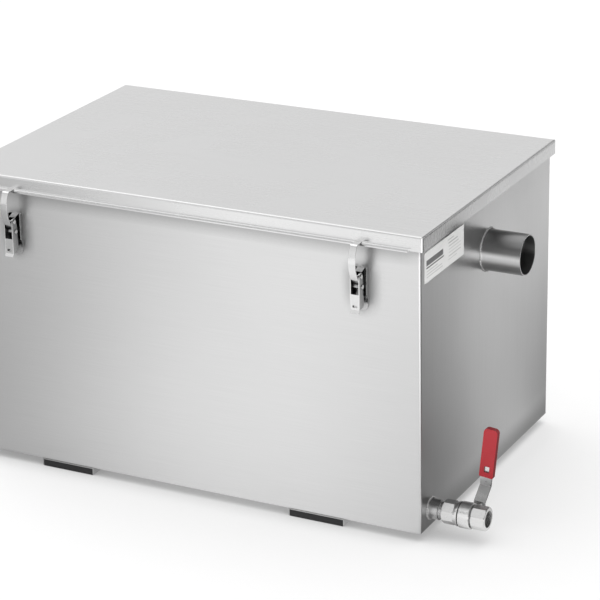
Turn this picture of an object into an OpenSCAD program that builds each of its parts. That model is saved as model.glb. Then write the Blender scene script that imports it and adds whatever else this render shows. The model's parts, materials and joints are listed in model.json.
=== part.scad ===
// Stainless-steel grease trap: a folded tank on two foot channels, a lift-off lid held by
// four over-centre latches, inlet and outlet pipes, baffles, a sediment basket and a drain valve.
// Millimetres, +Z up. The origin is on the floor, under the middle of the whole object.
// The front is -Y, and the outlet and the drain are on the +X side.

/* [Tank] */
// Outer width of the tank
tank_w = 610; // [520:5:760]
// Outer depth of the tank, front to rear
tank_d = 390; // [320:5:480]
// Height of the tank, from its underside to its top edge
tank_h = 364; // [330:1:460]
// Thickness of the tank's and lid's sheet
sheet = 1.5; // [1:0.1:2]
// Outer radius of the folded edges
bend_r = 3; // [2.2:0.1:5]
// Width of the tank's inward top flange
flange_w = 15; // [14:0.5:22]

/* [Lid] */
// How far the lid stands over each wall of the tank
lid_overhang = 5; // [3.5:0.1:8]
// Height of the lid's down-turned rim
rim_h = 18; // [14:0.5:20]
// Width of the outward lip that the latches hold
lip_w = 6; // [4:0.1:7]
// Radius of the bend between rim and lip
lip_r = 3; // [2:0.1:4]
// Distance from the lid's corner to the end of the lip
lip_end = 16; // [8:0.5:30]
// Thickness of the rubber gasket
gasket_t = 4.5; // [3:0.1:6]
// Width of the rubber gasket
gasket_w = 12; // [8:0.5:13]

/* [Pipes] */
// Outer diameter of the inlet and outlet pipes
pipe_od = 50; // [40:0.5:60]
// Wall of the inlet and outlet pipes
pipe_wall = 1.5; // [1:0.1:2.5]
// How far the pipes stand out from the tank
pipe_len = 50; // [30:1:80]
// How far the pipes reach into the tank
pipe_in = 20; // [10:1:24]
// From the tank's top edge down to the outlet's axis
outlet_drop = 74; // [60:1:100]
// How much higher the inlet's axis lies than the outlet's
inlet_rise = 15; // [0:1:25]
// Leg of the weld bead where a pipe meets its wall
bead = 2; // [1:0.1:3]
// Radius of the outlet elbow's bend, at its middle line
elbow_r = 45; // [36:1:55]
// From the tank's floor up to the elbow's open end
dip_gap = 80; // [50:1:100]

/* [Baffles] */
// Length of the inlet chamber, from the tank's end wall to the inlet baffle
inlet_room = 200; // [193:1:220]
// Length of the outlet chamber, from the outlet baffle to the tank's end wall
outlet_room = 125; // [120:1:185]
// Thickness of the baffle plates
baffle_t = 1.5; // [1:0.1:2]
// From the tank's floor up to the baffles' lower edge
baffle_gap = 65; // [40:1:90]
// From the tank's top edge down to the baffles' upper edge
baffle_drop = 26; // [22:1:60]
// Width of the fold along a baffle's upper edge
baffle_fold = 14; // [8:0.5:20]
// Depth of the guides, from the wall inwards
guide_depth = 12; // [8:0.5:16]
// Play of a baffle in its guides, on each side
guide_play = 0.3; // [0.1:0.05:0.6]

/* [Basket] */
// Length of the sediment basket, along the tank
basket_l = 150; // [110:1:160]
// Depth of the sediment basket
basket_h = 135; // [90:1:150]
// Sheet of the sediment basket
basket_sheet = 1; // [0.8:0.1:1.5]
// Width of the ledges that the basket hangs on
ledge_w = 15.5; // [12:0.5:40]
// Width of the flanges that the basket hangs by
basket_flange = 13; // [12:0.5:15]
// Gap between the basket's long sides and the ledges
ledge_gap = 3; // [1:0.1:4]
// From the tank's inlet wall to the basket
basket_gap = 26; // [26:1:34]
// From the tank's top edge down to the basket's flanges
basket_drop = 94; // [90:1:120]
// Diameter of the basket's holes
hole_d = 10; // [6:0.5:14]
// Distance between the basket's holes
hole_pitch = 35; // [28:1:45]
// Diameter of the basket's handle rod
handle_d = 7; // [5:0.5:9]
// How far the handle's legs reach down into the basket
handle_foot = 34; // [20:1:60]
// Height of the handle over the basket's flanges
handle_h = 60; // [45:1:64]

/* [Latches] */
// Distance of the latches from the tank's end walls
latch_inset = 73; // [70:1:120]
// Sheet of the latch's base and lever
latch_sheet = 1.1; // [0.8:0.1:1.4]
// Thickness of the bowed strap
strap_t = 1.2; // [0.9:0.1:1.5]
// Width of the bowed strap
strap_w = 9; // [7:0.1:11]
// Width of the base plate
base_w = 17; // [13:0.1:20]
// From the lever's pivot down to the base plate's lower end
base_drop = 46; // [40:0.5:52]
// Radius of the latch's pins
pin_r = 1.5; // [1.2:0.1:1.8]
// Running play of a pin in its holes
pin_play = 0.06; // [0.03:0.01:0.1]
// Play between the sides of strap, base and lever
side_play = 0.35; // [0.3:0.05:0.6]
// Lift of the strap's claw over the lid's lip
claw_lift = 0.6; // [0.5:0.1:0.9]
// Distance of the lever's pivot from the wall
pivot_out = 14; // [13:0.1:16]
// From the rim's lower edge down to the lever's pivot
pivot_drop = 36; // [35:0.5:40]
// Over-centre offset of the strap pin, towards the wall
over_centre = 2.5; // [1.5:0.1:3.5]
// From the lever's pivot down to the strap pin
crank = 13; // [12:0.1:15]
// Length of the lever from its pivot to the lower edge of its plate
lever_len = 39.5; // [36:0.5:44]
// Length of the lever's flared tip
tip_len = 4; // [2:0.5:12]
// How far the lever's tip flares outwards
tip_flare = 1.8; // [0.5:0.1:5]
// From the strap pin down to the lower edge of the lever's window
window_drop = 8; // [7.5:0.5:14]
// Width of the small slot near the lever's tip
slot_w = 6; // [4:0.1:7]
// Height of the small slot near the lever's tip
slot_h = 2.6; // [1.5:0.1:4]
// From the lower edge of the lever's plate up to the slot
slot_rise = 2.8; // [1.5:0.1:5]
// Radius of the base's ears round the pivot
ear_r = 3.6; // [3:0.1:3.8]
// Radius of the lever's flanges round the pivot
lever_top_r = 4.4; // [4:0.1:5]
// Depth of the base's top shelf
shelf = 8.4; // [5:0.1:8.8]
// Width of the base's top shelf
shelf_w = 9; // [9:0.1:9.5]
// From the lever's pivot up to the base plate's upper end
base_rise = 7; // [6.5:0.1:8]
// How far the shelf slopes down towards its outer edge
shelf_drop = 3.2; // [0:0.1:3.5]
// Height of the base's side walls
side_h = 5; // [3:0.1:6]
// From the lever's pivot down to the lower end of the side walls
side_drop = 30; // [24:0.5:36]
// Gap between the ears and the bowed strap
bow_gap = 2; // [1.4:0.1:3]
// Bend radius of the strap's claw
claw_r = 3; // [2:0.1:4]
// Length of the straight riser below the claw's bend
riser = 4.2; // [3:0.1:6]
// Distance of the claw's tip from the rim
tip_gap = 2; // [1:0.1:3]
// Radius of the pins' heads
head_r = 2.5; // [2:0.1:3]
// Thickness of the pins' heads
head_t = 0.9; // [0.6:0.1:1.5]
// Gap between a pin's head and the lever's flange
head_gap = 0.2; // [0.1:0.05:0.4]
// Depth of the lever's side flanges
lever_depth = 11; // [10:0.1:12]

/* [Drain] */
// From the tank's underside up to the drain's axis
drain_rise = 23; // [20:0.5:40]
// From the tank's front wall back to the drain's axis
drain_back = 29; // [24:0.5:60]
// Outer diameter of the drain nipple
nipple_od = 21.3; // [20:0.1:22]
// Wall of the drain nipple
nipple_wall = 2.6; // [2:0.1:3]
// Outer diameter of the nipple's plain sleeve, which is welded into the wall
sleeve_od = 24.4; // [23:0.1:26]
// Length of the nipple's sleeve outside the wall
sleeve_len = 12.5; // [8:0.5:13]
// Length of the nipple that shows between wall and valve
nipple_len = 18; // [14:0.5:34]
// Length of the screw joint between nipple and valve
screw_len = 11; // [8:0.5:12]
// Length of the valve's inlet piece
end_len = 21; // [20:0.5:24]
// Length of the valve's barrel
barrel_len = 14.5; // [13.5:0.1:17]
// Length of the valve's octagonal outlet
outlet_len = 19; // [18:0.5:26]
// Diameter of the valve's barrel
barrel_d = 31.5; // [30.5:0.5:36]
// Width across the flats of the valve's octagonal ends
end_af = 27; // [26.5:0.5:29]
// Number of flats on the valve's ends
flats = 8; // [6:2:8]
// From the barrel's inlet side to the stem's axis
stem_at = 11; // [7:0.1:11]
// Diameter of the threaded outlet
outlet_bore = 20.4; // [18:0.1:21]
// Depth of the threaded outlet
outlet_depth = 9; // [7:0.5:9]
// Radius of the ball
ball_r = 11; // [10.5:0.1:11.4]
// Diameter of the way through the ball
ball_bore = 14; // [10:0.5:14.5]
// Gap between the ball and its seats
seat_gap = 0.3; // [0.2:0.05:0.5]
// Diameter of the stem
stem_d = 7; // [6:0.1:8]
// Running play of the stem
stem_play = 0.08; // [0.03:0.01:0.1]
// Radius of the boss round the stem
boss_r = 7.5; // [7:0.1:9]
// From the valve's axis to the end of the stem's boss
boss_out = 18; // [17:0.5:20]
// Width across the flats of the gland nut
gland_af = 15; // [13:0.5:18]
// Width across the flats of the lever's nut
nut_af = 11; // [10:0.5:11.5]
// Thickness of the lever's nut
nut_t = 5; // [3:0.5:7]
// Gap between the gland nut and the lever
lever_gap = 0.8; // [0.3:0.1:2]
// Depth of the stem's tang in the ball's slot
tang_depth = 3; // [2:0.1:3.2]
// Width of the groove between barrel and outlet
groove = 1.2; // [0.8:0.1:2]
// Chamfer on the valve's turned edges
turned = 0.8; // [0.4:0.1:1.2]
// Length of the collar that meets the barrel
collar = 3; // [2:0.1:4]
// Length of the cone between the inlet's flats and the collar
cone = 5; // [3:0.1:6]
// How far the stem stands out of the lever's nut
stem_over = 1.5; // [0.5:0.1:3]
// Length of the screwed spigot between the valve's halves
spigot_len = 3; // [2:0.1:4]
// From the valve's axis to the lever's strip
lever_out = 24; // [22.5:0.5:32]

/* [Drain lever] */
// Width of the lever's strip
strip_w = 14; // [12:0.5:16]
// Thickness of the lever's strip
strip_t = 2.5; // [2:0.1:3]
// Length of the lever, from the stem to its end
strip_len = 95; // [80:1:120]
// Where the strip starts to bend back, from the stem
step_start = 7.5; // [7:0.5:18]
// Length of the slanted part of the strip
step_len = 15.5; // [12:0.5:20]
// How far the strip steps back
step_back = 13.5; // [8:0.5:18]
// Lean of the closed lever towards the outlet, in degrees
lean = 6; // [0:0.5:10]
// Width of the plastic grip
grip_w = 17.5; // [17:0.5:22]
// Length of the plastic grip
grip_len = 62.5; // [50:0.5:64]
// Thickness of the plastic grip
grip_t = 7; // [5.5:0.1:9]
// Radius of the grip's upper corners
grip_r = 5; // [3:0.1:6]
// Radius of the grip's lower corners
grip_low_r = 1.2; // [0.6:0.1:3]
// Side of the small window in the grip
window = 6.5; // [4:0.1:8]

/* [Feet] */
// From the tank's inlet wall to the middle of the left foot
foot_left = 126.5; // [60:0.5:180]
// From the tank's outlet wall to the middle of the right foot
foot_right = 137.5; // [60:0.5:180]
// Width of a foot channel
foot_w = 74; // [50:1:90]
// Height of the feet
foot_h = 10; // [8:0.5:20]
// From the tank's front or rear wall to the end of a foot
foot_inset = 1.5; // [0:0.5:30]
// How far the rubber strip stands out under its channel
pad_out = 0.8; // [0.5:0.1:5]

/* [Hidden] */
$fn = 48;

// Small overlap of cutting bodies, and clearance of welded pieces in their holes
eps = 0.5;
weld_gap = 0.05;

// Heights of the tank and the lid
floor_z = foot_h;
edge_z = floor_z + tank_h;
lid_z = edge_z + gasket_t + sheet;
rim_z = lid_z - rim_h;
lid_w = tank_w + 2 * lid_overhang;
lid_d = tank_d + 2 * lid_overhang;
lip_z = rim_z + sheet;
lip_bend = sheet + lip_r;

// Middle of the whole object, which the valve's reach puts off the tank's middle
valve_len = end_len + barrel_len + outlet_len;
mid_x = (nipple_len + valve_len - pipe_len) / 2;

// Pipes
pipe_r = pipe_od / 2;
outlet_z = edge_z - outlet_drop;
inlet_z = outlet_z + inlet_rise;
elbow_x = tank_w / 2 - sheet - pipe_in;

// Baffles and guides
inlet_baffle_x = tank_w / 2 - inlet_room;
outlet_baffle_x = tank_w / 2 - outlet_room;
baffle_z = floor_z + sheet + baffle_gap;
baffle_top = edge_z - baffle_drop;
guide_slot = baffle_t + 2 * guide_play;

// Basket
basket_x = -tank_w / 2 + sheet + basket_gap + basket_l / 2;
basket_z = edge_z - basket_drop;
basket_w = tank_d - 2 * (sheet + ledge_w + ledge_gap);

// Latch: u is the distance from the wall, z the height
latch_x = tank_w / 2 - latch_inset;
lever_in = strap_w + 2 * side_play;
lever_w = lever_in + 2 * latch_sheet;
pivot = [pivot_out, rim_z - pivot_drop];
strap_pin = pivot + [-over_centre, -crank];
eye_r = pin_r + strap_t;
lever_front = pivot_out + lever_top_r;
lever_back = lever_front - lever_depth;
claw_z = lip_z + claw_lift + strap_t / 2;
claw_tip = lid_overhang + tip_gap;

// Feet
left_foot_x = foot_left - tank_w / 2;
right_foot_x = tank_w / 2 - foot_right;

// Drain valve, along the axis from the nipple's end
drain_y = -tank_d / 2 + drain_back;
drain_z = floor_z + drain_rise;
valve_x = tank_w / 2 + nipple_len;
nipple_r = nipple_od / 2;
port_r = ball_bore / 2;
ball_at = end_len + stem_at;
cavity_r = ball_r + 0.6;
seat_reach = ball_r + 0.4;
spigot_r = cavity_r + 1.6;
gland_t = lever_out - boss_out - lever_gap;
tang_w = stem_d - 3.5;

steel = [0.80, 0.81, 0.82];
bright = [0.86, 0.87, 0.88];
dull = [0.62, 0.63, 0.64];
nickel = [0.78, 0.77, 0.74];
rubber = [0.07, 0.07, 0.075];
red = [0.78, 0.10, 0.13];
white = [0.93, 0.93, 0.90];

// Points on an arc about c
function arc(c, r, from, to, n = 6) =
    [for (i = [0:n]) c + r * [cos(from + (to - from) * i / n), sin(from + (to - from) * i / n)]];

function unit(v) = v / norm(v);
function left_of(path, i) =
    let (d = unit(path[min(i + 1, len(path) - 1)] - path[max(i - 1, 0)])) [-d[1], d[0]];

// A strip of even thickness along a path
module ribbon(path, t) {
    last = len(path) - 1;
    polygon(concat(
        [for (i = [0:last]) path[i] + left_of(path, i) * t / 2],
        [for (i = [last:-1:0]) path[i] - left_of(path, i) * t / 2]));
}

module rounded_rect(w, d, r) {
    polygon(concat(
        arc([w / 2 - r, d / 2 - r], r, 0, 90), arc([r - w / 2, d / 2 - r], r, 90, 180),
        arc([r - w / 2, r - d / 2], r, 180, 270), arc([w / 2 - r, r - d / 2], r, 270, 360)));
}

// A tray's outline from the side: round at the closed lower corners, square at the open top
module tray_outline(w, h, r) {
    polygon(concat([[w / 2, h], [-w / 2, h]],
        arc([r - w / 2, r], r, 180, 270), arc([w / 2 - r, r], r, 270, 360)));
}

// The solid that a folded tray fills, with round edges all over its closed lower end
module tray_block(w, d, h, r) {
    intersection() {
        linear_extrude(h) rounded_rect(w, d, r);
        rotate([90, 0, 0]) linear_extrude(d + 2 * eps, center = true) tray_outline(w, h, r);
        rotate([90, 0, 90]) linear_extrude(w + 2 * eps, center = true) tray_outline(d, h, r);
    }
}

module folded_tray(w, d, h, t, r) {
    difference() {
        tray_block(w, d, h, r);
        translate([0, 0, t]) tray_block(w - 2 * t, d - 2 * t, h, r - t);
    }
}

// Puts the tank's middle where the whole object's middle is the origin
module placed() { translate([-mid_x, 0, 0]) children(); }

module along_x(x, y, z) { translate([x, y, z]) rotate([0, 90, 0]) children(); }

// TANK

module tank_body() {
    color(steel) placed() difference() {
        translate([0, 0, floor_z]) {
            folded_tray(tank_w, tank_d, tank_h, sheet, bend_r);
            top_flange();
        }
        along_x(tank_w / 2, 0, outlet_z) wall_hole(pipe_r);
        along_x(-tank_w / 2, 0, inlet_z) wall_hole(pipe_r);
        along_x(tank_w / 2, drain_y, drain_z) wall_hole(sleeve_od / 2);
    }
}

module wall_hole(r) { cylinder(r = r + weld_gap, h = 4 * bend_r, center = true); }

// The inward fold that stiffens the top edge and carries the gasket
module top_flange() {
    translate([0, 0, tank_h - sheet]) linear_extrude(sheet) difference() {
        rounded_rect(tank_w, tank_d, bend_r);
        square([tank_w - 2 * flange_w, tank_d - 2 * flange_w], center = true);
    }
}

module lid_shell() {
    color(bright) placed() {
        difference() {
            translate([0, 0, lid_z]) mirror([0, 0, 1])
                folded_tray(lid_w, lid_d, rim_h, sheet, bend_r);
            translate([0, 0, rim_z - eps + (lip_bend + eps) / 2])
                cube([lid_w - 2 * lip_end, lid_d + 2 * eps, lip_bend + eps], center = true);
        }
        for (turn = [0, 180]) rotate([0, 0, turn]) lid_lip();
    }
}

// The outward lip along the front of the rim, with its bend
module lid_lip() {
    mid = sheet / 2;
    path = concat([[-mid, rim_z + lip_bend + eps]],
        arc([lip_r, rim_z + lip_bend], lip_r + mid, 180, 270), [[lip_w, rim_z + mid]]);
    translate([0, -lid_d / 2, 0]) upright(lid_w - 2 * lip_end) ribbon(path, sheet);
}

module lid_gasket() {
    color(rubber) placed() translate([0, 0, edge_z]) linear_extrude(gasket_t) difference() {
        square([tank_w - 2 * bend_r, tank_d - 2 * bend_r], center = true);
        square([tank_w - 2 * (bend_r + gasket_w), tank_d - 2 * (bend_r + gasket_w)], center = true);
    }
}

// PIPES

// A pipe through a wall whose outer face is at z = 0, with its weld bead outside
module wall_pipe(r, wall, inside, outside) {
    difference() {
        union() {
            translate([0, 0, -inside]) cylinder(r = r, h = inside + outside);
            rotate_extrude() polygon([[r - wall / 2, 0], [r + bead, 0],
                [r + bead * 0.4, bead * 0.4], [r, bead], [r - wall / 2, bead]]);
        }
        translate([0, 0, -inside - eps]) cylinder(r = r - wall, h = inside + outside + 2 * eps);
    }
}

module inlet_pipe() {
    color(steel) placed() translate([-tank_w / 2, 0, inlet_z]) rotate([0, -90, 0])
        wall_pipe(pipe_r, pipe_wall, sheet + pipe_in, pipe_len);
}

module outlet_pipe() {
    color(steel) placed() along_x(tank_w / 2, 0, outlet_z)
        wall_pipe(pipe_r, pipe_wall, sheet + pipe_in, pipe_len);
}

// The dip pipe behind the outlet, open at its lower end
module outlet_elbow() {
    drop_x = elbow_x - elbow_r;
    drop_z = outlet_z - elbow_r;
    end_z = floor_z + sheet + dip_gap;
    color(steel) placed() {
        translate([elbow_x, 0, drop_z]) rotate([90, 0, 0]) rotate([0, 0, 90])
            rotate_extrude(angle = 90) translate([elbow_r, 0]) pipe_ring();
        translate([drop_x, 0, end_z]) linear_extrude(drop_z - end_z) pipe_ring();
    }
}

module pipe_ring() {
    difference() {
        circle(pipe_r);
        circle(pipe_r - pipe_wall);
    }
}

// BAFFLES

// A plate across the tank, with its upper edge folded over towards fold_side
module baffle(x, fold_side) {
    width = tank_d - 2 * sheet - 2 * guide_play;
    fold_width = tank_d - 2 * sheet - 2 * guide_depth - 2 * guide_play;
    color(steel) placed() translate([x, 0, 0]) {
        translate([-baffle_t / 2, -width / 2, baffle_z]) cube([baffle_t, width, baffle_top - baffle_z]);
        translate([fold_side * (baffle_fold - baffle_t) / 2, 0, baffle_top - baffle_t / 2])
            cube([baffle_fold, fold_width, baffle_t], center = true);
    }
}

module inlet_baffle() { baffle(-inlet_baffle_x, 1); }
module outlet_baffle() { baffle(outlet_baffle_x, -1); }

// A folded channel on the front or rear wall, with a stop that the baffle stands on
module guide(x, side) {
    width = guide_slot + 2 * sheet;
    length = baffle_top - baffle_fold - baffle_z;
    color(dull) placed() translate([x, side * (tank_d / 2 - sheet), baffle_z])
        rotate([0, 0, side < 0 ? 180 : 0]) {
        for (s = [-1, 1]) translate([s * (guide_slot + sheet) / 2 - sheet / 2, -guide_depth, -sheet])
            cube([sheet, guide_depth, length + sheet]);
        translate([-width / 2, -guide_depth, -sheet]) cube([width, guide_depth, sheet]);
    }
}

module inlet_guide_front() { guide(-inlet_baffle_x, -1); }
module inlet_guide_rear() { guide(-inlet_baffle_x, 1); }
module outlet_guide_front() { guide(outlet_baffle_x, -1); }
module outlet_guide_rear() { guide(outlet_baffle_x, 1); }

// BASKET

// How many holes fit in a length, and where the first one is
function holes_in(length) = floor((length - 1.6 * hole_d) / hole_pitch);
function first_hole(length) = -holes_in(length) * hole_pitch / 2;

module sediment_basket() {
    columns = holes_in(basket_l);
    rows = holes_in(basket_w);
    levels = holes_in(basket_h);
    color(steel) placed() translate([basket_x, 0, basket_z]) difference() {
        union() {
            translate([0, 0, -basket_h])
                folded_tray(basket_l, basket_w, basket_h + basket_sheet, basket_sheet, bend_r);
            for (side = [-1, 1]) basket_hanger(side);
        }
        for (i = [0:columns]) translate([first_hole(basket_l) + i * hole_pitch, 0, 0]) {
            for (j = [0:rows]) translate([0, first_hole(basket_w) + j * hole_pitch, -basket_h])
                cylinder(d = hole_d, h = 4 * bend_r, center = true);
            for (k = [0:levels]) translate([0, 0, -basket_h / 2 + first_hole(basket_h) + k * hole_pitch])
                rotate([90, 0, 0]) cylinder(d = hole_d, h = basket_w + 2 * eps, center = true);
        }
        for (j = [0:rows], k = [0:levels])
            translate([0, first_hole(basket_w) + j * hole_pitch,
                -basket_h / 2 + first_hole(basket_h) + k * hole_pitch])
                rotate([0, 90, 0]) cylinder(d = hole_d, h = basket_l + 2 * eps, center = true);
    }
}

// The outward flange that rests on a ledge
module basket_hanger(side) {
    reach = basket_flange + basket_sheet;
    translate([0, side * (basket_w / 2 - basket_sheet + reach / 2), basket_sheet / 2])
        cube([basket_l - 2 * bend_r, reach, basket_sheet], center = true);
}

// A rod bent to a wide arch, welded to the insides of the basket's front and rear walls
module basket_handle() {
    rod_r = handle_d / 2;
    turn = 3 * rod_r;
    leg_y = basket_w / 2 - basket_sheet - rod_r;
    color(dull) placed() translate([basket_x, 0, basket_z]) {
        for (side = [0, 180]) rotate([0, 0, side]) {
            translate([0, leg_y, -handle_foot])
                cylinder(r = rod_r, h = handle_foot + handle_h - turn);
            translate([0, leg_y - turn, handle_h - turn]) rotate([0, -90, 0])
                rotate_extrude(angle = 90) translate([turn, 0]) circle(rod_r);
        }
        translate([0, 0, handle_h]) rotate([90, 0, 0])
            cylinder(r = rod_r, h = 2 * (leg_y - turn), center = true);
    }
}

// An angle on the front or rear wall that the basket hangs on
module basket_ledge(side) {
    color(dull) placed() translate([basket_x, side * (tank_d / 2 - sheet), basket_z])
        rotate([90, 0, side < 0 ? 270 : 90]) linear_extrude(basket_l, center = true)
            polygon([[0, 0], [-ledge_w, 0], [-ledge_w, -sheet], [-sheet, -sheet],
                [-sheet, -ledge_w], [0, -ledge_w]]);
}

module basket_ledge_front() { basket_ledge(-1); }
module basket_ledge_rear() { basket_ledge(1); }

// FEET

// A channel open downwards, under the tank from front to rear
module foot_channel(x) {
    length = tank_d - 2 * foot_inset;
    color(dull) placed() translate([x, 0, 0]) rotate([90, 0, 0])
        linear_extrude(length, center = true) difference() {
            translate([-foot_w / 2, pad_out]) square([foot_w, foot_h - pad_out]);
            translate([sheet - foot_w / 2, pad_out - eps])
                square([foot_w - 2 * sheet, foot_h - pad_out - sheet + eps]);
        }
}

// The rubber strip in the channel, which the trap stands on
module foot_pad(x) {
    length = tank_d - 2 * foot_inset;
    color(rubber) placed() translate([x, 0, (foot_h - sheet) / 2])
        cube([foot_w - 2 * sheet, length, foot_h - sheet], center = true);
}

module foot_channel_left() { foot_channel(left_foot_x); }
module foot_channel_right() { foot_channel(right_foot_x); }
module foot_pad_left() { foot_pad(left_foot_x); }
module foot_pad_right() { foot_pad(right_foot_x); }

// LATCHES

// The four places, each a side along X and a wall: -1 is front, 1 is rear
front_left = [-1, -1];
front_right = [1, -1];
rear_left = [-1, 1];
rear_right = [1, 1];

module at_latch(place) {
    placed() translate([place[0] * latch_x, place[1] * tank_d / 2, 0])
        rotate([0, 0, place[1] > 0 ? 180 : 0]) children();
}

// Turns an outline in (u, z) into a slab of width w at x
module upright(w, x = 0) {
    translate([x, 0, 0]) rotate([90, 0, -90]) linear_extrude(w, center = true) children();
}

module across(at, length, r) {
    translate([0, -at[0], at[1]]) rotate([0, 90, 0]) cylinder(r = r, h = length, center = true);
}

// The base: a plate on the wall with low sides, two ears for the pivot and a sloping shelf at the top
module latch_base(place) {
    top = pivot[1] + base_rise;
    bottom = pivot[1] - base_drop;
    side_low = pivot[1] - side_drop;
    color(steel) at_latch(place) difference() {
        union() {
            translate([0, 0, bottom + base_w / 2]) rotate([90, 0, 0]) linear_extrude(latch_sheet) {
                circle(base_w / 2);
                translate([-base_w / 2, 0]) square([base_w, top - bottom - base_w / 2]);
            }
            upright(shelf_w) polygon([[0, top], [shelf, top - shelf_drop],
                [shelf, top - shelf_drop - latch_sheet], [0, top - latch_sheet]]);
            for (side = [-1, 1]) {
                upright(latch_sheet, side * (strap_w - latch_sheet) / 2)
                    polygon(concat([[0, pivot[1] - crank - ear_r], [0, top - latch_sheet / 2],
                        [shelf, top - shelf_drop - latch_sheet / 2]], arc(pivot, ear_r, 90, -50)));
                upright(latch_sheet, side * (base_w - latch_sheet) / 2)
                    polygon([[0, side_low], [side_h, side_low + side_h], [side_h, top], [0, top]]);
            }
        }
        across(pivot, 2 * base_w, pin_r + pin_play);
    }
}

// The pivot pin: riveted in the base's ears, with a head outside each flange of the lever
module latch_pivot(place) {
    span = lever_w + 2 * head_gap;
    color(bright) at_latch(place) {
        across(pivot, span + 2 * head_t, pin_r);
        for (side = [-1, 1]) translate([side * (span + head_t) / 2, 0, 0]) across(pivot, head_t, head_r);
    }
}

// The lever: two side flanges joined by a front plate below the strap's window, and a flared tip
module latch_lever(place) {
    plate_top = strap_pin[1] - window_drop;
    plate_low = pivot[1] - lever_len;
    plate_mid = lever_front - latch_sheet / 2;
    end_r = lever_depth / 2;
    end_at = [lever_back + end_r, plate_low + end_r];
    back_from = 150;
    tip = [[plate_mid, plate_top], [plate_mid, plate_low], [plate_mid + tip_flare, plate_low - tip_len]];
    color(bright) at_latch(place) difference() {
        union() {
            for (side = [-1, 1]) upright(latch_sheet, side * (lever_w - latch_sheet) / 2)
                polygon(concat(arc(pivot, lever_top_r, 0, back_from, 8),
                    [[lever_back, strap_pin[1] + crank / 4]],
                    arc(end_at, end_r, 180, 290, 6), [[lever_front, plate_low]]));
            upright(lever_w) ribbon(tip, latch_sheet);
        }
        across(pivot, 2 * lever_w, pin_r + pin_play);
        across(strap_pin, 2 * lever_w, pin_r + pin_play);
        upright(slot_w) translate([plate_mid - latch_sheet, plate_low + slot_rise])
            square([2 * latch_sheet, slot_h]);
    }
}

// The strap pin: carried by the lever's flanges, through the strap's eye
module latch_pin(place) {
    span = lever_w + 2 * head_gap;
    color(bright) at_latch(place) {
        across(strap_pin, span + 2 * head_t, pin_r);
        for (side = [-1, 1]) translate([side * (span + head_t) / 2, 0, 0]) across(strap_pin, head_t, head_r);
    }
}

// The bowed strap: an eye on its pin, out round the pivot in one bow, and a claw over the lip
module latch_strap(place) {
    bow_from = -32;
    bow_to = 25;
    near_pivot = pivot + [ear_r + strap_t / 2 + bow_gap, 1];
    rise = claw_z - near_pivot[1];
    bow_r = (rise - claw_r * (1 - sin(bow_to)) - riser * cos(bow_to)) / (sin(bow_to) - sin(bow_from));
    bow_at = near_pivot - bow_r * [cos(bow_from), sin(bow_from)];
    bow_end = bow_at + bow_r * [cos(bow_to), sin(bow_to)];
    turn_at = bow_end + riser * [-sin(bow_to), cos(bow_to)] - claw_r * [cos(bow_to), sin(bow_to)];
    path = concat([strap_pin], arc(bow_at, bow_r, bow_from, bow_to, 10),
        arc(turn_at, claw_r, bow_to, 90, 5), [[claw_tip, claw_z]]);
    color(bright) at_latch(place) difference() {
        union() {
            upright(strap_w) ribbon(path, strap_t);
            across(strap_pin, strap_w, eye_r);
        }
        across(strap_pin, 2 * strap_w, pin_r + pin_play);
    }
}

// DRAIN VALVE

// The nipple: a plain sleeve through the wall, and a thinner threaded end for the valve
module drain_nipple() {
    bore_r = nipple_r - nipple_wall;
    color(dull) placed() along_x(tank_w / 2, drain_y, drain_z) {
        wall_pipe(sleeve_od / 2, sleeve_od / 2 - bore_r, sheet, sleeve_len);
        translate([0, 0, sleeve_len]) linear_extrude(nipple_len + screw_len - sleeve_len) difference() {
            circle(nipple_r);
            circle(bore_r);
        }
    }
}

module at_valve() { placed() along_x(valve_x, drain_y, drain_z) children(); }

// A length of bar with flats and turned ends
module turned_bar(from, to, af) {
    r = af / 2 / cos(180 / flats);
    cut = r - af / 2 + turned / 4;
    intersection() {
        translate([0, 0, from]) rotate([0, 0, 180 / flats]) cylinder(r = r, h = to - from, $fn = flats);
        rotate_extrude() polygon([[0, from], [r - cut, from], [r + eps, from + cut + eps],
            [r + eps, to - cut - eps], [r - cut, to], [0, to]]);
    }
}

// The inlet half, screwed on to the nipple and into the barrel
module valve_end_piece() {
    neck_r = end_af / 2 - turned / 2;
    collar_r = barrel_d / 2 - turned;
    color(nickel) at_valve() difference() {
        union() {
            turned_bar(0, end_len - 2 * collar, end_af);
            rotate_extrude() polygon([[0, turned], [neck_r, turned], [neck_r, end_len - collar - cone],
                [collar_r, end_len - collar], [collar_r, end_len - groove],
                [spigot_r, end_len - groove], [spigot_r, end_len + spigot_len], [0, end_len + spigot_len]]);
        }
        translate([0, 0, -eps]) cylinder(r = nipple_r + weld_gap, h = screw_len + eps);
        cylinder(r = port_r, h = end_len);
        translate([0, 0, ball_at - seat_reach]) cylinder(r = cavity_r, h = end_len);
    }
}

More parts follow.
